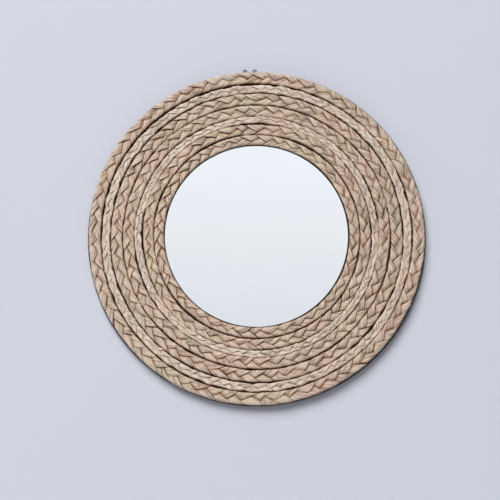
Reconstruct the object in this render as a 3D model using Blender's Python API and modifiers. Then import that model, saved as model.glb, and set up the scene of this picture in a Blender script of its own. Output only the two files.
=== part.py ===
"""Round wall mirror: seven rings of three-strand leaf plait laid on a dark board round a glass.

Metres, +Z up. The back of the board lies in the plane y = 0, with the origin at its
centre, and the mirror faces -Y. Heights are counted from the wall towards the viewer.
"""

import math

import bmesh
import bpy

# Clearance between pieces that lie against each other
TOUCH_GAP = 0.0003

# Glass and board
OPENING_RADIUS = 0.1640
GLASS_THICKNESS = 0.0030
GLASS_EDGE_CLEARANCE = 0.0005
BOARD_THICKNESS = 0.0080
BOARD_SETBACK = 0.0020
DISC_SIDES = 64

# Visible width of each ring of plait, from the rim to the glass
RIM_PLAIT_WIDTH = 0.0242
OUTER_PALE_PLAIT_WIDTH = 0.0166
SECOND_PLAIT_WIDTH = 0.0222
THIRD_PLAIT_WIDTH = 0.0210
INNER_PALE_PLAIT_WIDTH = 0.0129
FOURTH_PLAIT_WIDTH = 0.0196
GLASS_PLAIT_WIDTH = 0.0195
PLAIT_NEIGHBOUR_GAP = 0.0004

# The two kinds of plait: thickness, and the distance from one crossing to the next on a side
FLAT_PLAIT_THICKNESS = 0.0120
FLAT_PLAIT_PITCH = 0.0269
PALE_PLAIT_THICKNESS = 0.0110
PALE_PLAIT_PITCH = 0.0197
STRANDS = 3
ROWS_PER_PITCH = 2

# Shape of a plait's section, as shares of its half width and its thickness
FOOT_SHARE = 0.50
EDGE_HEIGHT_SHARE = 0.50
SUNK_EDGE_SHARE = 0.93
RAISED_CROWN_ACROSS = 0.30
SUNK_CROWN_ACROSS = 0.62
SUNK_CROWN_HEIGHT = 0.80
PALE_CROWN_ACROSS = 0.30
STRAND_ANGLE = math.radians(36.0)

# Hanger plate with two eyes, let into the back of the board
HANGER_OFFSET = -0.0127
EYE_SPACING = 0.0176
EYE_SLOT_WIDTH = 0.0050
EYE_BAR_WIDTH = 0.0014
EYE_RISE_ABOVE_RIM = 0.0075
PLATE_WIDTH = 0.0440
PLATE_HEIGHT = 0.0160
PLATE_DROP_BELOW_RIM = 0.0100
PLATE_THICKNESS = 0.0015
PLATE_CORNER_RADIUS = 0.0020
RECESS_DEPTH = 0.0034
RECESS_MARGIN = 0.0012
ARC_STEPS = 6

# Screws that hold the plate
SCREW_INSET = 0.0060
SCREW_SHANK_RADIUS = 0.0015
SCREW_HEAD_RADIUS = 0.0031
SCREW_HEAD_HEIGHT = 0.0012
SCREW_BITE = 0.0035
SCREW_HOLE_CLEARANCE = 0.0003
SCREW_SIDES = 12

MERGE_DISTANCE = 0.00001
FACING_FRONT = (math.pi / 2, 0.0, 0.0)

# Colour, roughness and metallic value of each finish
DRIED_LEAF = (0.50, 0.39, 0.28), 0.75, 0.0
PALE_LEAF = (0.60, 0.52, 0.42), 0.80, 0.0
DARK_BOARD = (0.045, 0.035, 0.030), 0.70, 0.0
SILVERED_GLASS = (0.88, 0.91, 0.93), 0.03, 1.0
BLACK_STEEL = (0.030, 0.030, 0.033), 0.45, 1.0

RINGS = (
    ("rim_plait", "flat", RIM_PLAIT_WIDTH),
    ("outer_pale_plait", "pale", OUTER_PALE_PLAIT_WIDTH),
    ("second_plait", "flat", SECOND_PLAIT_WIDTH),
    ("third_plait", "flat", THIRD_PLAIT_WIDTH),
    ("inner_pale_plait", "pale", INNER_PALE_PLAIT_WIDTH),
    ("fourth_plait", "flat", FOURTH_PLAIT_WIDTH),
    ("glass_plait", "flat", GLASS_PLAIT_WIDTH),
)
RIM_RADIUS = OPENING_RADIUS + sum(width for _, _, width in RINGS)
BOARD_RADIUS = RIM_RADIUS - BOARD_SETBACK


def clear_scene():
    for obj in list(bpy.data.objects):
        bpy.data.objects.remove(obj)


def new_collection(name):
    collection = bpy.data.collections.new(name)
    bpy.context.scene.collection.children.link(collection)
    return collection


def new_material(name, finish):
    colour, roughness, metallic = finish
    material = bpy.data.materials.new(name)
    material.use_nodes = True
    shader = material.node_tree.nodes["Principled BSDF"]
    shader.inputs["Base Color"].default_value = (*colour, 1.0)
    shader.inputs["Roughness"].default_value = roughness
    shader.inputs["Metallic"].default_value = metallic
    material.diffuse_color = (*colour, 1.0)
    return material


def place(obj, name, collection, material=None):
    """Names the object, gives it its material and moves it to its collection."""
    obj.name = name
    obj.data.name = name
    if material:
        obj.data.materials.append(material)
    for old in list(obj.users_collection):
        old.objects.unlink(obj)
    collection.objects.link(obj)
    return obj


def as_cutter(obj):
    obj.hide_render = True
    obj.display_type = "WIRE"
    return obj


def cut(obj, cutter):
    modifier = obj.modifiers.new("cut " + cutter.name, "BOOLEAN")
    modifier.operation = "DIFFERENCE"
    modifier.solver = "EXACT"
    modifier.object = cutter


def flat_disc(name, radius, low, high, collection, material):
    """A disc parallel to the wall, between two heights from it."""
    bpy.ops.mesh.primitive_cylinder_add(
        vertices=DISC_SIDES,
        radius=radius,
        depth=high - low,
        location=(0.0, -(low + high) / 2, 0.0),
        rotation=FACING_FRONT,
    )
    disc = bpy.context.object
    disc.data.shade_smooth()
    disc.data.set_sharp_from_angle(angle=math.radians(30))
    return place(disc, name, collection, material)


def lead_of(half, across):
    """How far along the ring a strand runs on its way from the edge to this place."""
    return (half - abs(across)) / math.tan(STRAND_ANGLE)


def flat_section(half, thickness, outer_row_up):
    """Corners of a flat plait's section from the outer edge over the crown to the foot.

    Each corner is (across, height, lead). The row of leaves that is up at this place
    stands higher and reaches nearer to the middle, and the crowns lead the edges,
    because every strand runs slanting from an edge to the middle.
    """

    def crown(raised, side):
        across = side * half * (RAISED_CROWN_ACROSS if raised else SUNK_CROWN_ACROSS)
        height = thickness * (1.0 if raised else SUNK_CROWN_HEIGHT)
        return across, height, lead_of(half, across)

    def edge(raised, side):
        across = side * half * (1.0 if raised else SUNK_EDGE_SHARE)
        return across, EDGE_HEIGHT_SHARE * thickness, 0.0

    foot = FOOT_SHARE * half
    return (
        edge(outer_row_up, 1),
        crown(outer_row_up, 1),
        crown(not outer_row_up, -1),
        edge(not outer_row_up, -1),
        (-foot, 0.0, 0.0),
        (foot, 0.0, 0.0),
    )


def pale_section(half, thickness, outer_row_up):
    """The narrow plait's section: one crown that swings from side to side over a keel."""
    crown = half * (PALE_CROWN_ACROSS if outer_row_up else -PALE_CROWN_ACROSS)
    outer_edge = half * (1.0 if outer_row_up else SUNK_EDGE_SHARE)
    inner_edge = half * (SUNK_EDGE_SHARE if outer_row_up else 1.0)
    edge_height = EDGE_HEIGHT_SHARE * thickness
    return (
        (outer_edge, edge_height, 0.0),
        (crown, thickness, lead_of(half, crown)),
        (-inner_edge, edge_height, 0.0),
        (0.0, 0.0, 0.0),
    )


PLAIT_KINDS = {
    "flat": (flat_section, FLAT_PLAIT_THICKNESS, FLAT_PLAIT_PITCH),
    "pale": (pale_section, PALE_PLAIT_THICKNESS, PALE_PLAIT_PITCH),
}


def plait_ring(name, kind, outer_radius, width, collection, material):
    """A ring of plait: a torus whose points are moved to the plait's sections.

    A whole number of turns of each strand fits round the ring, so that it closes.
    """
    section_of, thickness, pitch = PLAIT_KINDS[kind]
    half = (width - PLAIT_NEIGHBOUR_GAP) / 2
    middle = outer_radius - width / 2
    strand_turns = max(1, round(2 * math.pi * middle / (STRANDS * pitch)))
    rows = strand_turns * STRANDS * ROWS_PER_PITCH
    sections = [section_of(half, thickness, up) for up in (True, False)]
    corners = len(sections[0])
    bpy.ops.mesh.primitive_torus_add(
        major_segments=rows,
        minor_segments=corners,
        major_radius=middle,
        minor_radius=half,
        location=(0.0, -(BOARD_THICKNESS + TOUCH_GAP), 0.0),
        rotation=FACING_FRONT,
    )
    ring = bpy.context.object
    for vertex in ring.data.vertices:
        row, corner = divmod(vertex.index, corners)
        across, height, lead = sections[row % ROWS_PER_PITCH][corner]
        angle = 2 * math.pi * row / rows - lead / middle
        radius = middle + across
        vertex.co = (radius * math.cos(angle), radius * math.sin(angle), height)
    ring.data.shade_flat()
    return place(ring, name, collection, material)


def glass_radius():
    """The glass runs under the innermost plait until the plait's slanting underside."""
    half = (GLASS_PLAIT_WIDTH - PLAIT_NEIGHBOUR_GAP) / 2
    foot = OPENING_RADIUS + GLASS_PLAIT_WIDTH / 2 - FOOT_SHARE * half
    edge = OPENING_RADIUS + PLAIT_NEIGHBOUR_GAP / 2
    rise = GLASS_THICKNESS / (EDGE_HEIGHT_SHARE * FLAT_PLAIT_THICKNESS)
    return foot - (foot - edge) * rise - GLASS_EDGE_CLEARANCE


def arc(centre, radius, start, end, steps=ARC_STEPS):
    """Points of an arc, both ends included, angles in degrees."""
    points = []
    for step in range(steps + 1):
        angle = math.radians(start + (end - start) * step / steps)
        points.append((centre[0] + radius * math.cos(angle), centre[1] + radius * math.sin(angle)))
    return points


def plate_outline(eye_places, arch_height, low, high):
    """The hanger plate's edge, anticlockwise from its lower left corner."""
    outer = EYE_SLOT_WIDTH / 2 + EYE_BAR_WIDTH
    half = PLATE_WIDTH / 2
    corner = PLATE_CORNER_RADIUS
    left, right = HANGER_OFFSET - half + corner, HANGER_OFFSET + half - corner
    points = arc((left, low + corner), corner, 180, 270)
    points += arc((right, low + corner), corner, 270, 360)
    points += arc((right, high - corner), corner, 0, 90)
    for place_across in reversed(eye_places):
        points.append((place_across + outer, high))
        points += arc((place_across, arch_height), outer, 0, 180)
        points.append((place_across - outer, high))
    return points + arc((left, high - corner), corner, 90, 180)


def eye_slot(place_across, arch_height, low):
    """The opening of one eye, a slot with a round top."""
    half = EYE_SLOT_WIDTH / 2
    return [
        (place_across - half, low),
        (place_across + half, low),
        *arc((place_across, arch_height), half, 0, 180),
    ]


def close_surface(mesh):
    """Joins the rims of a filled outline to its sides and turns every face outwards."""
    filled = bmesh.new()
    filled.from_mesh(mesh)
    bmesh.ops.remove_doubles(filled, verts=filled.verts, dist=MERGE_DISTANCE)
    bmesh.ops.recalc_face_normals(filled, faces=filled.faces)
    filled.to_mesh(mesh)
    filled.free()


def add_outline(curve, points):
    spline = curve.splines.new("POLY")
    spline.points.add(len(points) - 1)
    for point, (across, up) in zip(spline.points, points):
        point.co = (across, up, 0.0, 1.0)
    spline.use_cyclic_u = True


def hanger_plate(screw_places, screw_height, collection, material):
    outer = EYE_SLOT_WIDTH / 2 + EYE_BAR_WIDTH
    arch_height = RIM_RADIUS + EYE_RISE_ABOVE_RIM - outer
    high = RIM_RADIUS - PLATE_DROP_BELOW_RIM
    eye_places = [HANGER_OFFSET - EYE_SPACING / 2, HANGER_OFFSET + EYE_SPACING / 2]
    curve = bpy.data.curves.new("hanger_plate", "CURVE")
    curve.dimensions = "2D"
    curve.fill_mode = "BOTH"
    curve.extrude = PLATE_THICKNESS / 2
    add_outline(curve, plate_outline(eye_places, arch_height, high - PLATE_HEIGHT, high))
    for eye_place in eye_places:
        add_outline(curve, eye_slot(eye_place, arch_height, high))
    hole_radius = SCREW_SHANK_RADIUS + SCREW_HOLE_CLEARANCE
    for screw_place in screw_places:
        circle = arc((screw_place, screw_height), hole_radius, 0, 360, SCREW_SIDES)
        add_outline(curve, circle[:-1])
    plate = bpy.data.objects.new("hanger_plate", curve)
    plate_back = -(RECESS_DEPTH - TOUCH_GAP - PLATE_THICKNESS)
    plate.location = (0.0, plate_back - PLATE_THICKNESS / 2, 0.0)
    plate.rotation_euler = FACING_FRONT
    bpy.context.scene.collection.objects.link(plate)
    bpy.ops.object.select_all(action="DESELECT")
    plate.select_set(True)
    bpy.context.view_layer.objects.active = plate
    bpy.ops.object.convert(target="MESH")
    close_surface(plate.data)
    return place(plate, "hanger_plate", collection, material)


def recess_cutter(collection):
    """The pocket for the plate: it is open at the top edge of the board."""
    low = RIM_RADIUS - PLATE_DROP_BELOW_RIM - PLATE_HEIGHT - RECESS_MARGIN
    high = RIM_RADIUS + EYE_RISE_ABOVE_RIM
    bpy.ops.mesh.primitive_cube_add(
        size=1.0, location=(HANGER_OFFSET, 0.0, (low + high) / 2)
    )
    cutter = bpy.context.object
    cutter.scale = (PLATE_WIDTH + 2 * RECESS_MARGIN, 2 * RECESS_DEPTH, high - low)
    bpy.ops.object.transform_apply(location=False, rotation=False, scale=True)
    return as_cutter(place(cutter, "recess_cutter", collection))


def screw_hole_cutter(name, place_across, height, collection):
    depth = SCREW_BITE + 2 * SCREW_HOLE_CLEARANCE
    bpy.ops.mesh.primitive_cylinder_add(
        vertices=SCREW_SIDES,
        radius=SCREW_SHANK_RADIUS + SCREW_HOLE_CLEARANCE,
        depth=2 * depth,
        location=(place_across, -RECESS_DEPTH, height),
        rotation=FACING_FRONT,
    )
    return as_cutter(place(bpy.context.object, name, collection))


def plate_screw(name, place_across, height, collection, material):
    """A low round-headed screw, turned about the wall's normal, its head towards the wall."""
    plate_back = RECESS_DEPTH - TOUCH_GAP - PLATE_THICKNESS
    head_seat = plate_back - TOUCH_GAP
    head_top = head_seat - SCREW_HEAD_HEIGHT
    tip = RECESS_DEPTH + SCREW_BITE
    profile = [
        (0.0, tip),
        (SCREW_SHANK_RADIUS * 0.5, tip),
        (SCREW_SHANK_RADIUS, tip - SCREW_SHANK_RADIUS),
        (SCREW_SHANK_RADIUS, head_seat),
        (SCREW_HEAD_RADIUS, head_seat),
        (SCREW_HEAD_RADIUS, head_seat - SCREW_HEAD_HEIGHT * 0.5),
        (SCREW_HEAD_RADIUS * 0.6, head_top),
        (0.0, head_top),
    ]
    mesh = bpy.data.meshes.new(name)
    points = [(radius, 0.0, up) for radius, up in profile]
    mesh.from_pydata(points, [(i, i + 1) for i in range(len(points) - 1)], [])
    screw = bpy.data.objects.new(name, mesh)
    screw.location = (place_across, 0.0, height)
    screw.rotation_euler = FACING_FRONT
    bpy.context.scene.collection.objects.link(screw)
    turn = screw.modifiers.new("turn", "SCREW")
    turn.axis = "Z"
    turn.steps = SCREW_SIDES
    turn.render_steps = SCREW_SIDES
    turn.use_merge_vertices = True
    turn.merge_threshold = MERGE_DISTANCE
    return place(screw, name, collection, material)


def main():
    clear_scene()
    mirror = new_collection("plaited_wall_mirror")
    cutters = new_collection("cutters")
    leaf = new_material("dried_leaf", DRIED_LEAF)
    pale = new_material("pale_leaf", PALE_LEAF)
    board_paint = new_material("dark_board", DARK_BOARD)
    silver = new_material("silvered_glass", SILVERED_GLASS)
    steel = new_material("black_steel", BLACK_STEEL)

    board = flat_disc("backing_board", BOARD_RADIUS, 0.0, BOARD_THICKNESS, mirror, board_paint)
    glass_back = BOARD_THICKNESS + TOUCH_GAP
    flat_disc(
        "mirror_glass", glass_radius(), glass_back, glass_back + GLASS_THICKNESS, mirror, silver
    )

    ring_radius = RIM_RADIUS
    for name, kind, width in RINGS:
        plait_ring(name, kind, ring_radius, width, mirror, leaf if kind == "flat" else pale)
        ring_radius -= width

    screw_reach = PLATE_WIDTH / 2 - SCREW_INSET
    screw_places = [HANGER_OFFSET - screw_reach, HANGER_OFFSET + screw_reach]
    screw_height = RIM_RADIUS - PLATE_DROP_BELOW_RIM - PLATE_HEIGHT / 2
    hanger_plate(screw_places, screw_height, mirror, steel)
    cut(board, recess_cutter(cutters))
    for side, screw_place in zip(("left", "right"), screw_places):
        plate_screw("plate_screw_" + side, screw_place, screw_height, mirror, steel)
        hole = screw_hole_cutter("screw_hole_" + side, screw_place, screw_height, cutters)
        cut(board, hole)


main()
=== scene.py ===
# %% [markdown]
# # A round wall mirror framed with plaited leaf
#
# Seven closed rings of three-strand plait lie side by side on a dark board, round a flat
# mirror glass. The rings are dried leaf: flat bundles that fold over at the plait's two
# edges and dive under each other along its middle. Two of the rings are narrow, pale and
# wrinkled. This file dresses the measured model of the mirror, piece by piece.

# %% Load the measured model
import math

import bmesh
import bpy
import numpy as np
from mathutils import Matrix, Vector


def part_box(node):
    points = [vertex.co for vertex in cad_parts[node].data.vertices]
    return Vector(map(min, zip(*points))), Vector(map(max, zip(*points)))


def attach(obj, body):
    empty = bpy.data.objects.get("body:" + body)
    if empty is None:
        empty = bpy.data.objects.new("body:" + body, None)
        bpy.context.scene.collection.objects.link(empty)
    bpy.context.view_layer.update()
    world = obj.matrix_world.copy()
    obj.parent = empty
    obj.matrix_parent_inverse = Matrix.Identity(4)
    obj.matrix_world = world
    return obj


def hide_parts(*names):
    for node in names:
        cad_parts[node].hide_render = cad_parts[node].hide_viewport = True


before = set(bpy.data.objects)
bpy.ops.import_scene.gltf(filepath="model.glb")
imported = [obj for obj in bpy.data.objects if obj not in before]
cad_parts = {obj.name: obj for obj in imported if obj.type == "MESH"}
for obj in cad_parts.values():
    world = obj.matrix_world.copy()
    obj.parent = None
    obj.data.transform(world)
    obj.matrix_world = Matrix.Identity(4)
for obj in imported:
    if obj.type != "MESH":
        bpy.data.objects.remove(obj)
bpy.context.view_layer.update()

# %% [markdown]
# ## Reading the model
#
# Each physical piece is one node of the measured model. The mirror's axis is Y, the wall is
# at zero and the front is towards minus Y. So the points of a node, read into an array,
# give a ring's radii and its heights from the wall, and what is drawn here fits the model
# also when its sizes change.

# %% Radii and heights of a node
def node_mesh(node):
    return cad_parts[node].data


def node_points(node):
    """The points of a measured node as an array of x, y, z."""
    mesh = node_mesh(node)
    points = np.empty(len(mesh.vertices) * 3)
    mesh.vertices.foreach_get("co", points)
    return points.reshape(-1, 3)


def ring_span(node):
    """Inner radius, outer radius, and the heights of its back and its front from the wall."""
    points = node_points(node)
    radius = np.hypot(points[:, 0], points[:, 2])
    return radius.min(), radius.max(), -points[:, 1].max(), -points[:, 1].min()


_, rim_radius, plait_back, plait_front = ring_span("rim_plait")
print(f"the rim's radius is {rim_radius:.4f} m and its front is {plait_front:.4f} m off the wall")

# %% [markdown]
# ## The camera
#
# The mirror was seen from straight in front and from a little below, so its lower rim is
# nearer and the circles are a touch flatter than they are wide. The camera stands on that
# line and looks at the middle of the mirror. A small lens shift puts the mirror where it
# is in the picture, up and to the right of the middle, without turning the camera.

# %% The camera in front of the mirror and below it
PICTURE_SIDE = 500
MIRROR_MIDDLE_IN_PICTURE = (256.75, 235.5)
RIM_RADIUS_IN_PICTURE = 169.1
CAMERA_DISTANCE = 2.24
CAMERA_ELEVATION = math.radians(-9.0)


def add_camera():
    middle_of_plaits = Vector((0.0, -(plait_back + plait_front) / 2, 0.0))
    towards_camera = Vector((0.0, -math.cos(CAMERA_ELEVATION), math.sin(CAMERA_ELEVATION)))
    bpy.ops.object.camera_add(location=middle_of_plaits + CAMERA_DISTANCE * towards_camera)
    camera = bpy.context.object
    camera.rotation_euler = (-towards_camera).to_track_quat("-Z", "Y").to_euler()
    half_picture = rim_radius * PICTURE_SIDE / 2 / RIM_RADIUS_IN_PICTURE
    camera.data.angle = 2 * math.atan(half_picture / CAMERA_DISTANCE)
    middle = PICTURE_SIDE / 2
    camera.data.shift_x = (middle - MIRROR_MIDDLE_IN_PICTURE[0]) / PICTURE_SIDE
    camera.data.shift_y = (MIRROR_MIDDLE_IN_PICTURE[1] - middle) / PICTURE_SIDE
    camera.data.dof.use_dof = False
    bpy.context.scene.camera = camera
    return camera


camera = add_camera()
print("camera at", tuple(round(v, 3) for v in camera.location))

# %% [markdown]
# ## Small helpers
#
# An operator acts on all that is selected, so each step first selects only what it works
# on. A finished piece rides on the mirror's one body, hides the measured nodes it stands
# for, and says which they are.

# %% Selecting, joining, and handing a piece over
def only(piece):
    bpy.ops.object.select_all(action="DESELECT")
    piece.select_set(True)
    bpy.context.view_layer.objects.active = piece


def joined(pieces):
    """Joins all pieces into the first."""
    only(pieces[0])
    for piece in pieces[1:]:
        piece.select_set(True)
    bpy.ops.object.join()
    return pieces[0]


def hand_over(piece, name, slot, *nodes):
    piece.name = name
    piece.data.name = name
    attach(piece, "root")
    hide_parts(*nodes)
    print(name, "has", len(piece.data.polygons), "faces and stands for", ", ".join(nodes))


print("the helpers to select, join and hand over are ready")

# %% [markdown]
# ## The shape of one strand
#
# A strand is a flat bundle of leaves. It runs slanting across the plait, folds over at the
# edge, comes back on top as far as the middle and dives there under the next strand. A
# curve with a round bevel would give a rope, not this flat herringbone, and it could not
# fold. So each strand starts as a long grid. A formula rolls it up and lays its rows along
# the folded path, and merging the points that meet closes it. A plait has a whole number
# of such turns, so each strand meets its own start.
#
# The path is worked out as if the bundle were unfolded: it goes straight on and on, and
# each time it has crossed the plait it turns over. Rows of points lie along the crossing
# strand, so that a row dives as one.

# %% The fold at the plait's edge
FOLD_SQUARENESS = 2.8
FOLD_SAMPLES = 200


class Fold:
    """The squared bend at the plait's edge, walked from the flat top out to half height."""

    def __init__(self, sheet_half, rise, roundness):
        reach = roundness * rise
        turn = np.linspace(0.0, math.pi / 2, FOLD_SAMPLES)
        power = 2 / FOLD_SQUARENESS
        self.out = reach * np.sin(turn) ** power
        self.share = np.cos(turn).clip(0.0) ** power
        steps = np.hypot(np.diff(self.out), rise * np.diff(self.share))
        self.walked = np.concatenate(([0.0], np.cumsum(steps)))
        self.flat_half = sheet_half - reach
        self.half_run = self.flat_half + self.walked[-1]

    def __call__(self, from_centre):
        """Turns an unfolded distance into a place across the plait and a share of its height."""
        distance = np.abs(from_centre)
        past = np.clip(distance - self.flat_half, 0.0, None)
        across = np.minimum(distance, self.flat_half) + np.interp(past, self.walked, self.out)
        return np.sign(from_centre) * across, np.interp(past, self.walked, self.share)


print("a fold is walked in", FOLD_SAMPLES, "samples")

# %% [markdown]
# ## Unevenness that closes on itself
#
# Hand-made plait is never even: the bundles are thicker here and thinner there, the rings
# wander, and each leaf has its own tone. A value drawn afresh at every point would be noise
# and would tear the ring where it meets its start. So each change is a sum of slow waves
# with whole numbers of turns, or one value for each leaf that eases into the next. All are
# seeded, so the mirror looks the same each time.

# %% Waves round the ring, one value for each leaf, and wrinkles
WEAKEST_WAVE = 0.4
EASED_SHARE = 0.24
STEEPEST_WRINKLE = 2.6


class Wander:
    """A smooth closed wander round the ring: sine waves of whole numbers of turns."""

    def __init__(self, rng, amount, slowest, fastest, waves=9):
        self.counts = rng.integers(slowest, fastest + 1, waves)
        self.starts = rng.uniform(0, 2 * math.pi, waves)
        self.sizes = amount * rng.uniform(WEAKEST_WAVE, 1.0, waves) / math.sqrt(waves)

    def __call__(self, angle):
        waves = zip(self.counts, self.starts, self.sizes)
        return sum(size * np.sin(count * angle + start) for count, start, size in waves)


class PerLeaf:
    """One random value for each run from edge to edge, eased from one to the next."""

    def __init__(self, rng, count, low, high):
        self.values = rng.uniform(low, high, count)

    def __call__(self, run):
        place = run + 0.5
        leaf = np.floor(place).astype(int)
        share = np.clip((place - leaf) / EASED_SHARE, 0.0, 1.0)
        share = share * share * (3 - 2 * share)
        count = len(self.values)
        return self.values[(leaf - 1) % count] * (1 - share) + self.values[leaf % count] * share


class Wrinkles:
    """Narrow creases slanting over the bundle, closed after the strand's whole length."""

    def __init__(self, rng, runs, fastest, waves=10):
        self.along = 2 * math.pi * rng.integers(runs, fastest * runs, waves) / runs
        self.across = rng.uniform(-STEEPEST_WRINKLE, STEEPEST_WRINKLE, waves) * math.pi
        self.starts = rng.uniform(0, 2 * math.pi, waves)

    def __call__(self, run, side):
        waves = zip(self.along, self.across, self.starts)
        total = sum(np.sin(along * run + across * side + start) for along, across, start in waves)
        return 0.5 - np.abs(total) / math.sqrt(len(self.starts) / 2)


print("each leaf's value eases into the next over", EASED_SHARE, "of a run")

# %% [markdown]
# ## Laying a strand
#
# The middle of the bundle is a thin sheet on the folded path. Its two faces are laid off
# from it along its normal, which comes from places a small nudge apart, so the path's
# formula is written only once. Creases and wrinkles thin and thicken the bundle. The tone
# and the distance to the bundle's edge are kept as attributes for the finish, and so is how
# deep a point lies between the plaits, by which the finish paints shade. The rim's outer
# side is bare, with no plait beside it, so it gets no painted shade.

# %% One strand as a closed tube
STRANDS = 3
STEPS_PER_TURN = 40
POINTS_AROUND = 26
DIVE_LENGTH = 0.10
NUDGE = 0.002
LIFT = (0.76, 1.0)
LEAF_TONE = 0.11
BUNDLE_TONE = 0.10
SECTION_FLATNESS = 0.34
CREASE_WIDTHS = (1.7, 2.9, 4.3)
CREASE_DRIFT = 2.2
CREASE_SPREAD = 0.3
WRINKLES_PER_RUN = 7
# Over this part of the rim's bare outer side, the painted shade by depth fades out.
BARE_FROM = 0.35
BARE_WHOLLY = 0.70


class Strand:
    """A flat bundle on its folded path. Places on it are a run and a side from -1 to 1."""

    def __init__(self, ring, number, rng):
        self.ring = ring
        self.start = number * 2 / STRANDS
        self.runs = 2 * ring.turns
        self.run_along = math.pi * ring.middle / ring.turns
        self.fold = Fold(ring.half_width - ring.half_thick, ring.layer, ring.roundness)
        self.half_run = self.fold.half_run
        self.run_length = math.hypot(self.run_along, 2 * self.half_run)
        kind = ring.kind
        self.fill = PerLeaf(rng, self.runs, *kind["fill"])
        self.lift = PerLeaf(rng, self.runs, *LIFT)
        self.tilt = PerLeaf(rng, self.runs, -kind["tilt"], kind["tilt"])
        self.thickness = PerLeaf(rng, self.runs, *kind["thickness"])
        self.tone = PerLeaf(rng, self.runs, -LEAF_TONE, LEAF_TONE)
        self.bundle_tone = Wander(rng, BUNDLE_TONE, 1, max(2, ring.turns // 2))
        self.crease_starts = rng.uniform(0, 2 * math.pi, len(CREASE_WIDTHS))
        self.crease_drift = Wander(rng, CREASE_DRIFT, 3, 3 * ring.turns)
        self.wrinkles = Wrinkles(rng, self.runs, WRINKLES_PER_RUN)

    def sheet(self, run, side):
        """The middle of the bundle: radius, angle and height."""
        ring = self.ring
        beta = side * self.fill(run) * (2 * self.half_run / STRANDS)
        slope = 2 * self.half_run / self.run_along
        unfolded = 2 * self.half_run * run + beta / 2
        along = self.run_along * (run - self.start) - beta / (2 * slope)
        leaf = np.round(unfolded / (2 * self.half_run))
        from_centre = unfolded - leaf * 2 * self.half_run
        across, share = self.fold(from_centre)
        across = across * np.where(leaf % 2 == 0, -1.0, 1.0)
        dive = -np.tanh((run - leaf) / DIVE_LENGTH)
        angle = ring.phase - along / ring.middle
        angle = angle + ring.slip(angle) / ring.middle
        height = ring.base + ring.layer * share * dive * self.lift(run)
        height = height + self.tilt(run) * side * share
        radius = ring.middle + across * ring.swell(angle) + ring.sway(angle)
        return radius, angle, height

    def point(self, run, side):
        radius, angle, height = self.sheet(run, side)
        return np.stack((radius * np.cos(angle), radius * np.sin(angle), height), axis=-1)

    def offset(self, run, side, around):
        """How far the surface lies from the middle of the bundle."""
        ring = self.ring
        face = np.sin(around)
        drift = self.crease_drift(run * math.pi / ring.turns)
        creases = sum(
            np.sin(width * side * np.pi + start + drift * (1 + CREASE_SPREAD * width))
            for width, start in zip(CREASE_WIDTHS, self.crease_starts)
        )
        creased = 1 + ring.kind["crease"] * creases / len(CREASE_WIDTHS)
        flat = np.sign(face) * np.abs(face) ** SECTION_FLATNESS
        flat = flat * ring.half_thick * self.thickness(run) * creased
        return flat + ring.kind["wrinkle"] * self.wrinkles(run, side) * face

    def tones(self, run, places):
        """The tone of each point: the ring's slow change, its leaf's own and its bundle's."""
        place = np.arctan2(places[..., 1], places[..., 0])
        tone = 0.5 + self.ring.batch_tone(place) + self.tone(run)
        return tone + self.bundle_tone(run * math.pi / self.ring.turns)

    def depths(self, places):
        """How deep each point lies, from 0 at the plait's front to 1 at its back, for painted shade.
        """
        ring = self.ring
        depth = np.clip((ring.half_depth - places[..., 2]) / (2 * ring.half_depth), 0.0, 1.0)
        if not ring.bare_outside:
            return depth
        outward = (np.hypot(places[..., 0], places[..., 1]) - ring.middle) / ring.half_width
        bare = np.clip((outward - BARE_FROM) / (BARE_WHOLLY - BARE_FROM), 0.0, 1.0)
        return depth * (1.0 - bare)

    def rows(self):
        """Rows of points round the tube, with each point's tone, side and depth."""
        count = self.ring.turns * STEPS_PER_TURN
        run = self.start + self.runs * np.arange(count + 1)[:, None] / count
        around = 2 * math.pi * np.arange(POINTS_AROUND + 1)[None, :] / POINTS_AROUND
        run, around = np.broadcast_arrays(run, around)
        side = np.cos(around)
        along = self.point(run + NUDGE, side) - self.point(run - NUDGE, side)
        over = self.point(run, side + NUDGE) - self.point(run, side - NUDGE)
        normal = np.cross(along, over)
        normal /= np.linalg.norm(normal, axis=-1, keepdims=True)
        places = self.point(run, side) + self.offset(run, side, around)[..., None] * normal
        return places, self.tones(run, places), np.abs(side), self.depths(places)


print("a strand has", STEPS_PER_TURN, "rows of", POINTS_AROUND, "points in each turn")

# %% [markdown]
# ## What makes one ring unlike the next
#
# Each ring takes its radius, width and thickness from the measured model. What the ring
# itself adds is the number of turns, counted along the real plaits, and how even it is.
# The brown rings are fairly neat, the pale ones are thinner, flatter, more ragged and more
# twisted.
#
# The rim and the ring on the glass were laid along an edge and run true, the latter a
# little inside its circle, over the glass. Those between were pushed together by hand, so
# they drift, lying close here and leaving a dark gap there. The rim bulges out at the upper
# left and draws in along the right, most of all at the lower right, where the black board
# peeks out from under it. These bays are given by their place on a clock face in degrees,
# how far they reach and how deep they are.

# %% Two kinds of leaf, and the bays in the rim
# Lengths are in metres, the other values are shares.
LEAF_KINDS = {
    "neat": {
        "flattened": 0.0, "fill": (0.88, 1.18), "thickness": (0.80, 1.02), "tilt": 0.0005,
        "crease": 0.30, "wrinkle": 0.00030, "jitter": 0.0, "wobble": 0.04,
    },
    "ragged": {
        "flattened": 0.36, "fill": (0.94, 1.24), "thickness": (0.68, 1.02), "tilt": 0.0010,
        "crease": 0.60, "wrinkle": 0.00075, "jitter": 0.0003, "wobble": 0.08,
    },
}
RIM_INSET = 0.0005
RIM_BAYS = ((60, 42, 0.0006), (128, 30, 0.0012), (318, 42, -0.0013))
GLASS_PLAIT_INSET = 0.0005


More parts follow.
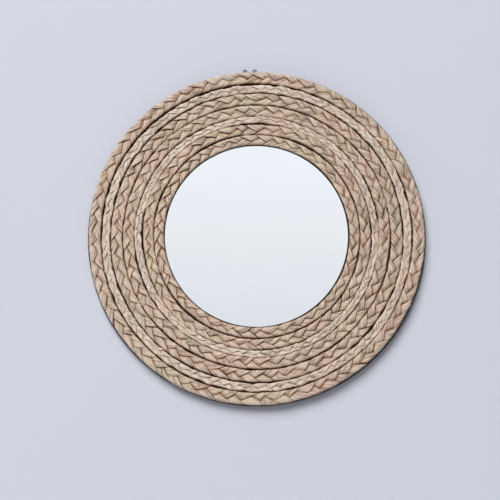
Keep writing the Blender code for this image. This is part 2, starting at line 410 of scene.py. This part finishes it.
def drawn_in(node, angle):
    """How far a ring lies inside its own circle."""
    if node == "glass_plait":
        return GLASS_PLAIT_INSET
    if node != "rim_plait":
        return 0.0
    clock = 90 - np.degrees(angle)
    depth_here = RIM_INSET
    for middle, reach, depth in RIM_BAYS:
        away = (clock - middle + 180) % 360 - 180
        depth_here = depth_here + depth * np.exp(-(away / reach) ** 4)
    return depth_here


print("the rim has", len(RIM_BAYS), "bays")

# %% The measures and the wander of a ring
BUNDLE_SHARE = 0.26
BATCH_TONE = 0.22
DRIFT = 0.0010
JITTER = 0.0005
SLIP = 0.0034


class Ring:
    """The measures of one plait, read from its node, and its wander round the mirror."""

    def __init__(self, node, turns, phase, kind, loose, fullness, roundness, rng):
        inner, outer, back, front = ring_span(node)
        self.node = node
        self.turns = turns
        self.phase = math.radians(phase)
        self.kind = LEAF_KINDS[kind]
        self.fullness = fullness
        self.roundness = roundness
        self.bare_outside = node == "rim_plait"
        self.middle = (inner + outer) / 2
        self.half_width = (outer - inner) / 2
        self.centre_height = (back + front) / 2
        self.half_depth = (front - back) / 2
        self.half_thick = BUNDLE_SHARE * self.half_depth
        self.layer = (1 - self.kind["flattened"]) * (self.half_depth - self.half_thick)
        self.base = self.kind["flattened"] * (self.half_depth - self.half_thick)
        self.batch_tone = Wander(rng, BATCH_TONE, slowest=1, fastest=14)
        self.drift = Wander(rng, DRIFT * loose, slowest=1, fastest=9)
        self.jitter = Wander(rng, JITTER * loose + self.kind["jitter"], slowest=9, fastest=70)
        self.slip = Wander(rng, SLIP, slowest=2, fastest=2 * turns)
        self.wobble = Wander(rng, self.kind["wobble"], slowest=5, fastest=3 * turns)

    def sway(self, angle):
        """How far the ring lies outside its measured circle."""
        return self.drift(angle) + self.jitter(angle) - drawn_in(self.node, angle)

    def swell(self, angle):
        """The ring's width as a share of the measured one."""
        return self.fullness + self.wobble(angle)


print("a bundle is", BUNDLE_SHARE, "of its plait's depth")

# %% [markdown]
# ## The seven rings
#
# A strand becomes a mesh by adding a plain grid and moving its points to the strand's
# places, which also keeps the grid's UV map. The map is then stretched to run in metres, so
# that the ribs of the leaf are equally fine on all rings. The three strands of a ring are
# joined, and merging the points that meet closes each tube.

# %% Lay all rings
CLOSING_DISTANCE = 0.000002
FIRST_SEED = 11
# Node, turns, start in degrees, kind of leaf, looseness, share of the width, roundness of folds.
RING_PLAN = (
    ("rim_plait", 22, 10, "neat", 0.6, 0.91, 0.60),
    ("outer_pale_plait", 28, 40, "ragged", 0.8, 0.89, 0.44),
    ("second_plait", 19, 75, "neat", 1.0, 0.96, 0.44),
    ("third_plait", 18, 20, "neat", 1.0, 0.98, 0.44),
    ("inner_pale_plait", 22, 95, "ragged", 0.9, 1.05, 0.44),
    ("fourth_plait", 15, 55, "neat", 0.9, 0.99, 0.44),
    ("glass_plait", 14, 5, "neat", 0.5, 0.97, 0.50),
)


def measure_uv(mesh, length, girth):
    """Makes the UV map run in metres, X along the strand and Y round it."""
    layer = mesh.uv_layers[0]
    values = np.empty(len(layer.uv) * 2, dtype=np.float32)
    layer.uv.foreach_get("vector", values)
    values = values.reshape(-1, 2)[:, ::-1] * (length, girth)
    layer.uv.foreach_set("vector", values.astype(np.float32).ravel())


def lay_strand(ring, number, rng):
    strand = Strand(ring, number, rng)
    places, tone, edge, depth = strand.rows()
    rows, points = tone.shape
    bpy.ops.object.select_all(action="DESELECT")
    bpy.ops.mesh.primitive_grid_add(x_subdivisions=points - 1, y_subdivisions=rows - 1)
    tube = bpy.context.object
    from_wall = ring.centre_height + places[..., 2]
    world = np.stack((places[..., 0], -from_wall, places[..., 1]), axis=-1)
    tube.data.vertices.foreach_set("co", world.astype(np.float32).ravel())
    for name, values in (("leaf_tone", tone), ("leaf_edge", edge), ("leaf_depth", depth)):
        attribute = tube.data.attributes.new(name, "FLOAT", "POINT")
        attribute.data.foreach_set("value", values.astype(np.float32).ravel())
    width = 2 * strand.half_run / STRANDS
    measure_uv(tube.data, strand.runs * strand.run_length, 2 * width)
    return tube


def make_ring(seed, *plan):
    rng = np.random.default_rng(seed)
    ring = Ring(*plan, rng)
    piece = joined([lay_strand(ring, number, rng) for number in range(STRANDS)])
    bpy.ops.object.mode_set(mode="EDIT")
    bpy.ops.mesh.select_all(action="SELECT")
    bpy.ops.mesh.remove_doubles(threshold=CLOSING_DISTANCE)
    bpy.ops.mesh.normals_make_consistent(inside=False)
    bpy.ops.object.mode_set(mode="OBJECT")
    bpy.ops.object.shade_smooth()
    return piece


rings = {}
for seed, plan in enumerate(RING_PLAN, start=FIRST_SEED):
    node = plan[0]
    rings[node] = make_ring(seed, *plan)
    slot = "pale_plait" if "pale" in node else "leaf_plait"
    hand_over(rings[node], node + "_strands", slot, node)

# %% [markdown]
# ## Building a finish from nodes
#
# A material is a tree of small nodes. The helpers add a node with its values and links in
# one call, so that a finish reads as a list of what it does: noise for the pattern, a range
# for how much of it shows, and a mix of two colours.

# %% Node helpers
MIX_FACTOR, MIX_FIRST, MIX_SECOND, MIX_RESULT = 0, 6, 7, 2


def linear(red, green, blue):
    """A screen colour, 0 to 255, as the linear colour that a shader takes."""
    def one(value):
        share = value / 255
        return share / 12.92 if share <= 0.04045 else ((share + 0.055) / 1.055) ** 2.4
    return one(red), one(green), one(blue), 1.0


def feed(tree, value, socket):
    """Links the value to a socket, or sets it where it is a plain number or colour."""
    if isinstance(value, bpy.types.NodeSocket):
        tree.links.new(value, socket)
    else:
        socket.default_value = value


def add_node(tree, kind, inputs=None, **settings):
    """Adds a node, sets its properties, and fills or links its inputs."""
    node = tree.nodes.new(kind)
    for name, value in settings.items():
        setattr(node, name, value)
    for name, value in (inputs or {}).items():
        feed(tree, value, node.inputs[name])
    return node


def noise(tree, place, waves, detail, **inputs):
    """Noise with so many waves to the metre."""
    inputs = {"Vector": place, "Scale": waves, "Detail": detail, **inputs}
    return add_node(tree, "ShaderNodeTexNoise", inputs).outputs["Fac"]


def ranged(tree, value, source, target=(0.0, 1.0)):
    node = add_node(tree, "ShaderNodeMapRange", {
        "Value": value,
        "From Min": source[0], "From Max": source[1],
        "To Min": target[0], "To Max": target[1],
    })
    return node.outputs["Result"]


def math_node(tree, operation, *values):
    node = add_node(tree, "ShaderNodeMath", dict(enumerate(values)), operation=operation)
    return node.outputs["Value"]


def mixed(tree, factor, first, second, blend="MIX"):
    """Mixes two colours. The Mix node keeps its colour sockets after those of other kinds."""
    inputs = {MIX_FACTOR: factor, MIX_FIRST: first, MIX_SECOND: second}
    node = add_node(tree, "ShaderNodeMix", inputs, data_type="RGBA", blend_type=blend)
    return node.outputs[MIX_RESULT]


def new_material(name):
    material = bpy.data.materials.new(name)
    material.use_nodes = True
    tree = material.node_tree
    return material, tree, tree.nodes["Principled BSDF"]


print("node helpers are ready, middle grey is", linear(128, 128, 128))

# %% [markdown]
# ## The finish of the leaf
#
# Dry leaf is matt, with fine ribs along each bundle and thin seams between its leaves. Both
# kinds of plait use one shared node group: it turns the bundle's own UV map into ribs, folds,
# blotches and seams, and mixes three tones by the leaf's attribute. It also paints shade: it
# darkens the bundle's edges, and deep between the plaits the leaf gets a warm painted shade
# first and a dark painted shade under it, because little light comes down there. Each
# material gives the group its own colours.

# %% The shared leaf group
COLOUR, VALUE, VECTOR = "NodeSocketColor", "NodeSocketFloat", "NodeSocketVector"
WHITE = (1.0, 1.0, 1.0, 1.0)
# Waves to the metre along the strand, round it and through it, then the noise's detail.
RIBS = ((26.0, 900.0, 1.0), 3.0)
FOLDS = ((30.0, 300.0, 1.0), 2.0)
BLOTCHES = ((130.0, 240.0, 1.0), 4.0)
SEAMS = ((11.0, 190.0, 1.0), 1.0)
STREAK_ROUGHNESS = 0.6
# Each range goes from where the change begins to where it is complete.
RIB_SHADE = (0.34, 0.52)
FOLD_SHADE = (0.30, 0.46)
BLOTCH_SHADE = (0.30, 0.48)
SEAM_HALF_WIDTH = 0.03
# The bundle's edges are darkened over this range as painted shade.
PAINTED_EDGE_SHADE = (0.93, 1.0)
# Deep between the plaits the leaf gets painted shade: a warm tone, then a dark one.
HOLLOW_SHADE_DEPTH = (0.10, 0.34)
GROOVE_SHADE_DEPTH = (0.28, 0.50)
LOW_TONES = (0.15, 0.5)
HIGH_TONES = (0.5, 0.85)
NOISE_SPAN = (0.3, 0.7)
LEAF_ROUGHNESS = (0.62, 0.88)
FOLD_HEIGHT = 1.6
SEAM_HEIGHT = 0.4


def new_group(name, inputs, outputs):
    tree = bpy.data.node_groups.new(name, "ShaderNodeTree")
    for socket, kind, value in inputs:
        made = tree.interface.new_socket(socket, in_out="INPUT", socket_type=kind)
        made.default_value = value
    for socket, kind in outputs:
        tree.interface.new_socket(socket, in_out="OUTPUT", socket_type=kind)
    given = tree.nodes.new("NodeGroupInput").outputs
    result = tree.nodes.new("NodeGroupOutput").inputs
    return tree, given, result


def streaks(tree, place, waves, detail):
    """Noise drawn out along the bundle."""
    stretched = add_node(tree, "ShaderNodeMapping", {"Vector": place, "Scale": waves})
    return noise(tree, stretched.outputs["Vector"], 1.0, detail, Roughness=STREAK_ROUGHNESS)


def leaf_group():
    tree, given, result = new_group(
        "dry leaf",
        [
            ("Place", VECTOR, (0.0, 0.0, 0.0)),
            ("Tone", VALUE, 0.5),
            ("Edge", VALUE, 0.0),
            ("Depth", VALUE, 0.0),
            ("First tone", COLOUR, WHITE),
            ("Middle tone", COLOUR, WHITE),
            ("Last tone", COLOUR, WHITE),
            ("Shade", COLOUR, WHITE),
            ("Hollow shade", COLOUR, WHITE),
            ("Groove shade", COLOUR, WHITE),
            ("Contrast", VALUE, 0.3),
        ],
        [("Colour", COLOUR), ("Roughness", VALUE), ("Height", VALUE)],
    )
    ribs, folds, blotches, seams = (
        streaks(tree, given["Place"], *pattern) for pattern in (RIBS, FOLDS, BLOTCHES, SEAMS)
    )
    from_seam = math_node(tree, "ABSOLUTE", math_node(tree, "SUBTRACT", seams, 0.5))
    off_seam = ranged(tree, from_seam, (0.0, SEAM_HALF_WIDTH))
    lower = ranged(tree, given["Tone"], LOW_TONES)
    upper = ranged(tree, given["Tone"], HIGH_TONES)
    tone = mixed(tree, lower, given["First tone"], given["Middle tone"])
    tone = mixed(tree, upper, tone, given["Last tone"])
    darkest = mixed(tree, given["Contrast"], WHITE, given["Shade"])
    for share, first, second in (
        (ranged(tree, ribs, RIB_SHADE), darkest, WHITE),
        (ranged(tree, folds, FOLD_SHADE), darkest, WHITE),
        (ranged(tree, blotches, BLOTCH_SHADE), darkest, WHITE),
        (off_seam, darkest, WHITE),
        # Painted shade: at the bundle's edges, then warm and dark deep between the plaits.
        (ranged(tree, given["Edge"], PAINTED_EDGE_SHADE), WHITE, given["Shade"]),
        (ranged(tree, given["Depth"], HOLLOW_SHADE_DEPTH), WHITE, given["Hollow shade"]),
        (ranged(tree, given["Depth"], GROOVE_SHADE_DEPTH), WHITE, given["Groove shade"]),
    ):
        tone = mixed(tree, 1.0, tone, mixed(tree, share, first, second), "MULTIPLY")
    height = math_node(tree, "ADD", ribs, math_node(tree, "MULTIPLY", folds, FOLD_HEIGHT))
    height = math_node(tree, "ADD", height, math_node(tree, "MULTIPLY", off_seam, SEAM_HEIGHT))
    feed(tree, tone, result["Colour"])
    feed(tree, ranged(tree, blotches, NOISE_SPAN, LEAF_ROUGHNESS), result["Roughness"])
    feed(tree, height, result["Height"])
    return tree


dry_leaf = leaf_group()
print("node group", dry_leaf.name, "has", len(dry_leaf.nodes), "nodes")

# %% [markdown]
# ## Brown leaf and pale leaf
#
# The two kinds of leaf differ only in colour and contrast, so one function makes both
# materials. It hands the attributes that the strands carry to the group, and the group's
# height goes into a Bump node: the ribs are far finer than the mesh.

# %% Two leaf materials
RIB_RELIEF = 0.0010
LEAF_SHEEN = 0.3


def leaf_material(name, contrast, colours):
    material, tree, shader = new_material(name)
    place = add_node(tree, "ShaderNodeUVMap", uv_map="UVMap")
    inputs = {"Place": place.outputs["UV"], "Contrast": contrast, **colours}
    for socket, attribute in (("Tone", "leaf_tone"), ("Edge", "leaf_edge"), ("Depth", "leaf_depth")):
        carried = add_node(tree, "ShaderNodeAttribute", attribute_name=attribute)
        inputs[socket] = carried.outputs["Fac"]
    leaf = add_node(tree, "ShaderNodeGroup", node_tree=dry_leaf)
    for socket, value in inputs.items():
        feed(tree, value, leaf.inputs[socket])
    relief = add_node(tree, "ShaderNodeBump", {
        "Height": leaf.outputs["Height"], "Strength": 1.0, "Distance": RIB_RELIEF,
    })
    feed(tree, leaf.outputs["Colour"], shader.inputs["Base Color"])
    feed(tree, leaf.outputs["Roughness"], shader.inputs["Roughness"])
    feed(tree, relief.outputs["Normal"], shader.inputs["Normal"])
    feed(tree, LEAF_SHEEN, shader.inputs["Specular IOR Level"])
    return material


def paint(piece, material):
    piece.data.materials.clear()
    piece.data.materials.append(material)


# The hollow and groove colours are painted shade deep between the plaits.
brown_leaf = leaf_material("brown leaf", 0.44, {
    "First tone": linear(219, 194, 179),
    "Middle tone": linear(219, 199, 180),
    "Last tone": linear(214, 201, 179),
    "Shade": linear(100, 62, 36),
    "Hollow shade": linear(232, 200, 166),
    "Groove shade": linear(34, 15, 5),
})
pale_leaf = leaf_material("pale leaf", 0.38, {
    "First tone": linear(228, 208, 196),
    "Middle tone": linear(230, 214, 199),
    "Last tone": linear(224, 213, 197),
    "Shade": linear(152, 116, 88),
    "Hollow shade": linear(238, 212, 184),
    "Groove shade": linear(84, 56, 38),
})
for node, piece in rings.items():
    paint(piece, pale_leaf if "pale" in node else brown_leaf)
print("the rings have their leaf finish")

# %% [markdown]
# ## The glass
#
# The mirror glass is a flat disc with a narrow ground edge, its rim hidden under the
# innermost plait. It could be clear glass over a silver layer, but only the reflection
# shows, so a disc of polished silver with the faint cool tint of glass looks the same.
# Only edges flatter than 12 degrees are smoothed: a bevel blended into the flat face
# would bend the reflection like a bulge. The silver stops short of the glass's edge, and
# a dark margin shows as a thin line where the plait lies further from the middle. It is
# partly the bare edge of the glass and partly painted shade under the plait. The silver's
# circle sits a little to the upper left, so the margin shows most at the lower right, on the
# shadow side.

# %% A disc parallel to the wall
ROUND_SIDES = 192
SMOOTH_BELOW = math.radians(12)


def settle(piece):
    """Puts the piece's place, turn and size into its mesh."""
    only(piece)
    bpy.ops.object.transform_apply(location=True, rotation=True, scale=True)


def disc(radius, back, front, edge):
    """A disc parallel to the wall with narrow bevels round its two faces."""
    bpy.ops.object.select_all(action="DESELECT")
    bpy.ops.mesh.primitive_cylinder_add(
        vertices=ROUND_SIDES,
        radius=radius,
        depth=front - back,
        location=(0.0, -(back + front) / 2, 0.0),
        rotation=(math.pi / 2, 0.0, 0.0),
    )
    piece = bpy.context.object
    bevel = piece.modifiers.new("ground edge", "BEVEL")
    bevel.width = edge
    bevel.segments = 2
    bevel.limit_method = "ANGLE"
    bpy.ops.object.modifier_apply(modifier=bevel.name)
    settle(piece)
    bpy.ops.object.shade_smooth_by_angle(angle=SMOOTH_BELOW)
    return piece


print("a disc has", ROUND_SIDES, "sides")

# %% The mirror glass
GROUND_EDGE = 0.0006
MARGIN_SEEN = 0.0018
# The silver's circle sits to the upper left, so the dark painted shade shows most at the lower right.
SILVER_OFF_CENTRE = (-0.0006, 0.0006)
SILVER_EDGE = 0.0002
RIPPLES = 9.0
POLISH = 0.02
COOL_SILVER = linear(243, 246, 249)
CLEAR_SILVER = linear(247, 249, 251)
UNSILVERED_EDGE_AND_SHADE = linear(46, 38, 34)
_, glass_radius, glass_back, glass_front = ring_span("mirror_glass")


def silver_material():
    material, tree, shader = new_material("silvered glass")
    place = add_node(tree, "ShaderNodeTexCoord").outputs["Object"]
    tint = mixed(tree, noise(tree, place, RIPPLES, 1.0), COOL_SILVER, CLEAR_SILVER)
    middle = (SILVER_OFF_CENTRE[0], -glass_front, SILVER_OFF_CENTRE[1])
    from_middle = add_node(tree, "ShaderNodeVectorMath", {0: place, 1: middle}, operation="DISTANCE")
    # Past this circle the disc turns dark: partly the bare glass edge, partly painted shade under the
    # plait.
    silver_radius = ring_span("glass_plait")[0] - MARGIN_SEEN
    silver_edge = (silver_radius - SILVER_EDGE, silver_radius + SILVER_EDGE)
    margin = ranged(tree, from_middle.outputs["Value"], silver_edge)
    feed(tree, mixed(tree, margin, tint, UNSILVERED_EDGE_AND_SHADE), shader.inputs["Base Color"])
    feed(tree, 1.0, shader.inputs["Metallic"])
    feed(tree, POLISH, shader.inputs["Roughness"])
    return material


glass = disc(glass_radius, glass_back, glass_front, GROUND_EDGE)
paint(glass, silver_material())
hand_over(glass, "silvered_glass", "mirror", "mirror_glass")

# %% [markdown]
# ## The board
#
# The board is a fibreboard disc painted nearly black. In front only its edge shows, as a
# thin dark line under the rim, so it is drawn a hair wider than the rim's petals. Behind,
# it has a pocket for the hanger plate. It starts as a cylinder, the pocket is cut with a
# Boolean, and the paint gets a fine orange-peel surface, slightly rubbed.

# %% Paint with a fine grain
PAINT_GRAIN = 1500.0
GRAIN_STRENGTH = 0.5
GRAIN_HEIGHT = 0.00008
WORN_FROM = (0.50, 0.72)


def grained(tree, shader, waves, strength, height):
    """Gives the shader a fine relief, and returns the place and the grain for other uses."""
    place = add_node(tree, "ShaderNodeTexCoord").outputs["Object"]
    grain = noise(tree, place, waves, 2.0)
    relief = add_node(tree, "ShaderNodeBump", {
        "Height": grain, "Strength": strength, "Distance": height,
    })
    feed(tree, relief.outputs["Normal"], shader.inputs["Normal"])
    return place, grain


def paint_material(name, dark, worn, wear_waves, roughness):
    material, tree, shader = new_material(name)
    place, grain = grained(tree, shader, PAINT_GRAIN, GRAIN_STRENGTH, GRAIN_HEIGHT)
    worn_share = ranged(tree, noise(tree, place, wear_waves, 5.0), WORN_FROM)
    feed(tree, mixed(tree, worn_share, dark, worn), shader.inputs["Base Color"])
    feed(tree, ranged(tree, grain, NOISE_SPAN, roughness), shader.inputs["Roughness"])
    return material


board_paint = paint_material(
    "board paint", linear(40, 33, 31), linear(50, 42, 39), wear_waves=70.0, roughness=(0.55, 0.75)
)
print("the board's paint is ready:", board_paint.name)

# %% The board with its pocket
BOARD_OVERHANG = 0.0004
BOARD_EDGE = 0.0005
POCKET_CORNER = 0.0020
POCKET_FLOOR_BETWEEN = (0.001, 0.004)
CUT_BEYOND = 0.01
CORNER_STEPS = 4


def pocket_box():
    """The pocket's low and high corner, read from the inner points of the board's mesh."""
    points = node_points("backing_board")
    from_wall = -points[:, 1]
    nearest, farthest = POCKET_FLOOR_BETWEEN
    floor = points[(from_wall > nearest) & (from_wall < farthest)]
    return floor.min(axis=0), floor.max(axis=0)


def cut_box(piece, low, high, corner):
    """Cuts a box out of the piece, its edges along Y rounded."""
    bpy.ops.object.select_all(action="DESELECT")
    bpy.ops.mesh.primitive_cube_add(size=1.0, location=[(a + b) / 2 for a, b in zip(low, high)])
    cutter = bpy.context.object
    cutter.scale = [b - a for a, b in zip(low, high)]
    settle(cutter)
    bpy.ops.object.mode_set(mode="EDIT")
    mesh = bmesh.from_edit_mesh(cutter.data)
    for edge in mesh.edges:
        first, second = (vertex.co for vertex in edge.verts)
        edge.select_set(abs(first.y - second.y) > 0.5 * (high[1] - low[1]))
    bmesh.update_edit_mesh(cutter.data)
    bpy.ops.mesh.select_mode(type="EDGE")
    bpy.ops.mesh.bevel(offset=corner, segments=CORNER_STEPS)
    bpy.ops.object.mode_set(mode="OBJECT")
    only(piece)
    cut = piece.modifiers.new("pocket", "BOOLEAN")
    cut.object = cutter
    bpy.ops.object.modifier_apply(modifier=cut.name)
    bpy.data.objects.remove(cutter)


_, _, board_back, board_front = ring_span("backing_board")
board_radius = rim_radius + BOARD_OVERHANG
board = disc(board_radius, board_back, board_front, BOARD_EDGE)
pocket_low, pocket_high = pocket_box()
pocket_end = (pocket_high[0], CUT_BEYOND, board_radius + CUT_BEYOND)
cut_box(board, pocket_low, pocket_end, POCKET_CORNER)
only(board)
bpy.ops.object.shade_smooth_by_angle(angle=SMOOTH_BELOW)
paint(board, board_paint)
hand_over(board, "painted_board", "board", "backing_board")

# %% [markdown]
# ## The hanger
#
# Behind the upper edge a thin blackened steel plate with two eyes sits in the pocket, held
# by two screws. The plate is stamped from sheet, so its edges are softly rounded. It could
# be drawn again as an outline, but the measured plate already has its shape: a copy is
# cleaned to whole flat faces, and a narrow bevel runs round them.

# %% The stamped plate
STAMPED_EDGE = 0.00022
JOIN_DISTANCE = 0.00001
FLAT_WITHIN = math.radians(1)
SHARP_ABOVE = math.radians(50)
SMOOTH_METAL_BELOW = math.radians(35)


def whole_faces(node):
    """A copy of a measured piece, its loose triangles joined into whole flat faces."""
    piece = bpy.data.objects.new(node + "_copy", node_mesh(node).copy())
    bpy.context.scene.collection.objects.link(piece)
    only(piece)
    bpy.ops.object.mode_set(mode="EDIT")
    bpy.ops.mesh.select_all(action="SELECT")
    bpy.ops.mesh.remove_doubles(threshold=JOIN_DISTANCE)
    bpy.ops.mesh.dissolve_limited(angle_limit=FLAT_WITHIN)
    bpy.ops.object.mode_set(mode="OBJECT")
    return piece


def soften(piece, width):
    """Bevels the piece's sharp edges."""
    only(piece)
    bevel = piece.modifiers.new("soft edges", "BEVEL")
    bevel.width = width
    bevel.segments = 2
    bevel.limit_method = "ANGLE"
    bevel.angle_limit = SHARP_ABOVE
    bpy.ops.object.modifier_apply(modifier=bevel.name)
    bpy.ops.object.shade_smooth_by_angle(angle=SMOOTH_METAL_BELOW)


steel = paint_material(
    "blackened steel", linear(36, 36, 39), linear(46, 45, 45), wear_waves=700.0, roughness=(0.35, 0.5)
)
plate = whole_faces("hanger_plate")
soften(plate, STAMPED_EDGE)
paint(plate, steel)
hand_over(plate, "stamped_hanger", "steel", "hanger_plate")

# %% [markdown]
# ## The screws
#
# Each screw is a low round head with a cross cut into it, on a plain shank that is hidden
# in the board. Its box in the model gives its place and its sizes. The cross is two narrow
# boxes cut out one after the other: a picture of a cross would not catch the light.

# %% The two screws
HEAD_SHARE = 0.27
HEAD_EDGE = 0.0005
HEAD_SIDES = 32
SHANK_SHARE = 0.5
SHANK_SIDES = 16
CROSS_LENGTH = 0.0034
CROSS_WIDTH = 0.0007
CROSS_DEPTH = 0.0006
CROSS_CORNER = CROSS_WIDTH / 5


def round_bar(radius, back, front, across, up, sides):
    """A short cylinder along Y between two places, its axis through a point of the wall."""
    bpy.ops.object.select_all(action="DESELECT")
    bpy.ops.mesh.primitive_cylinder_add(
        vertices=sides,
        radius=radius,
        depth=back - front,
        location=(across, (back + front) / 2, up),
        rotation=(math.pi / 2, 0.0, 0.0),
    )
    bar = bpy.context.object
    settle(bar)
    return bar


def make_screw(node):
    low, high = (Vector(corner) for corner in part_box(node))
    middle = (low + high) / 2
    head_radius = (high.x - low.x) / 2
    seat = high.y - HEAD_SHARE * (high.y - low.y)
    head = round_bar(head_radius, high.y, seat, middle.x, middle.z, HEAD_SIDES)
    soften(head, HEAD_EDGE)
    for length, height in ((CROSS_LENGTH, CROSS_WIDTH), (CROSS_WIDTH, CROSS_LENGTH)):
        corner = Vector((length / 2, 0.0, height / 2))
        start = Vector((middle.x, high.y - CROSS_DEPTH, middle.z)) - corner
        end = Vector((middle.x, high.y + CROSS_DEPTH, middle.z)) + corner
        cut_box(head, start, end, CROSS_CORNER)
    shank = round_bar(SHANK_SHARE * head_radius, seat, low.y, middle.x, middle.z, SHANK_SIDES)
    screw = joined([head, shank])
    bpy.ops.object.shade_smooth_by_angle(angle=SMOOTH_METAL_BELOW)
    return screw


for side in ("left", "right"):
    screw = make_screw("plate_screw_" + side)
    paint(screw, steel)
    hand_over(screw, "cross_head_screw_" + side, "steel", "plate_screw_" + side)

# %% [markdown]
# ## The stage
#
# A mirror needs something to hang on and something to reflect. The wall is a pale
# backdrop that is only there from the front, so that the back of the mirror can be looked
# at. It throws no shadow, or it would hide the back from the light that shines there. The
# floor is far below.

# %% Wall and floor
WALL_GAP = 0.0008
WALL_SIZE = 6.0
FLOOR_DROP = 2.20
WALL_COLOUR = (0.636, 0.655, 0.735, 1.0)
FLOOR_COLOUR = (0.72, 0.71, 0.70, 1.0)
PLASTER_GRAIN = 300.0
PLASTER_STRENGTH = 0.2
PLASTER_HEIGHT = 0.0001
UPRIGHT = (math.pi / 2, 0.0, 0.0)
LEVEL = (0.0, 0.0, 0.0)


def plain_material(name, colour, roughness):
    material, tree, shader = new_material(name)
    grained(tree, shader, PLASTER_GRAIN, PLASTER_STRENGTH, PLASTER_HEIGHT)
    feed(tree, colour, shader.inputs["Base Color"])
    feed(tree, roughness, shader.inputs["Roughness"])
    return material


def either(tree, share, first, second):
    """The first shader where the share is 0 and the second where it is 1."""
    return add_node(tree, "ShaderNodeMixShader", {0: share, 1: first, 2: second}).outputs["Shader"]


def make_one_sided(material):
    """Lets a plane vanish when it is seen from behind."""
    tree = material.node_tree
    solid = tree.nodes["Principled BSDF"].outputs["BSDF"]
    behind = add_node(tree, "ShaderNodeNewGeometry").outputs["Backfacing"]
    clear = add_node(tree, "ShaderNodeBsdfTransparent").outputs["BSDF"]
    feed(tree, either(tree, behind, solid, clear), tree.nodes["Material Output"].inputs["Surface"])


def stage_plane(name, location, rotation, material):
    bpy.ops.mesh.primitive_plane_add(size=WALL_SIZE, location=location, rotation=rotation)
    plane = bpy.context.object
    plane.name = name
    plane.data.materials.append(material)
    return plane


wall_paint = plain_material("wall paint", WALL_COLOUR, 0.9)
make_one_sided(wall_paint)
wall = stage_plane("wall", (0.0, WALL_GAP, WALL_SIZE / 2 - FLOOR_DROP), UPRIGHT, wall_paint)
wall.visible_shadow = False
floor_paint = plain_material("floor", FLOOR_COLOUR, 0.8)
floor = stage_plane("floor", (0.0, 0.0, -FLOOR_DROP), LEVEL, floor_paint)
print("the stage has", wall.name, "and", floor.name)

# %% [markdown]
# ## The light
#
# The light on the mirror is soft and comes from the upper left in front. A large disc lamp
# gives it and the soft shadow on the wall, and a second one shines on the back. The world
# is a pale sky that grows lighter with height, for the glass to show. Matt surfaces get an
# even, weaker fill instead, because so bright a sky would flatten their shading.

# %% World and lamps
SKY_HEIGHTS = (0.08, 0.156, 0.225)
SKY_COLOURS = (linear(228, 231, 236), linear(241, 243, 246), linear(248, 250, 255))
FILL_COLOUR = linear(236, 238, 246)
FILL_STRENGTH = 0.11
KEY_PLACE = (-2.4, -6.6, 5.5)
KEY_SIZE = 5.8
KEY_POWER = 890.0
BACK_PLACE = (0.4, 4.5, 0.6)
BACK_SIZE = 2.0
BACK_POWER = 260.0


def add_world():
    """A soft fill for the surfaces, and a paler room for the glass to show."""
    world = bpy.data.worlds.new("soft room")
    bpy.context.scene.world = world
    world.use_nodes = True
    tree = world.node_tree
    direction = add_node(tree, "ShaderNodeTexCoord").outputs["Generated"]
    height = add_node(tree, "ShaderNodeSeparateXYZ", {"Vector": direction}).outputs["Z"]
    room = mixed(tree, ranged(tree, height, SKY_HEIGHTS[:2]), SKY_COLOURS[0], SKY_COLOURS[1])
    room = mixed(tree, ranged(tree, height, SKY_HEIGHTS[1:]), room, SKY_COLOURS[2])
    shown = tree.nodes["Background"]
    feed(tree, room, shown.inputs["Color"])
    fill = add_node(tree, "ShaderNodeBackground", {"Color": FILL_COLOUR, "Strength": FILL_STRENGTH})
    matt = add_node(tree, "ShaderNodeLightPath").outputs["Is Diffuse Ray"]
    chosen = either(tree, matt, shown.outputs["Background"], fill.outputs["Background"])
    feed(tree, chosen, tree.nodes["World Output"].inputs["Surface"])


def add_lamp(name, location, size, power):
    bpy.ops.object.light_add(type="AREA", location=location)
    light = bpy.context.object
    light.name = name
    light.data.shape = "DISK"
    light.data.size = size
    light.data.energy = power
    light.rotation_euler = (-Vector(location)).to_track_quat("-Z", "Y").to_euler()
    light.visible_glossy = False


add_world()
add_lamp("key light", KEY_PLACE, KEY_SIZE, KEY_POWER)
add_lamp("back light", BACK_PLACE, BACK_SIZE, BACK_POWER)
bpy.context.scene.view_settings.view_transform = "Standard"
print("the mirror is lit by its sky and two lamps")
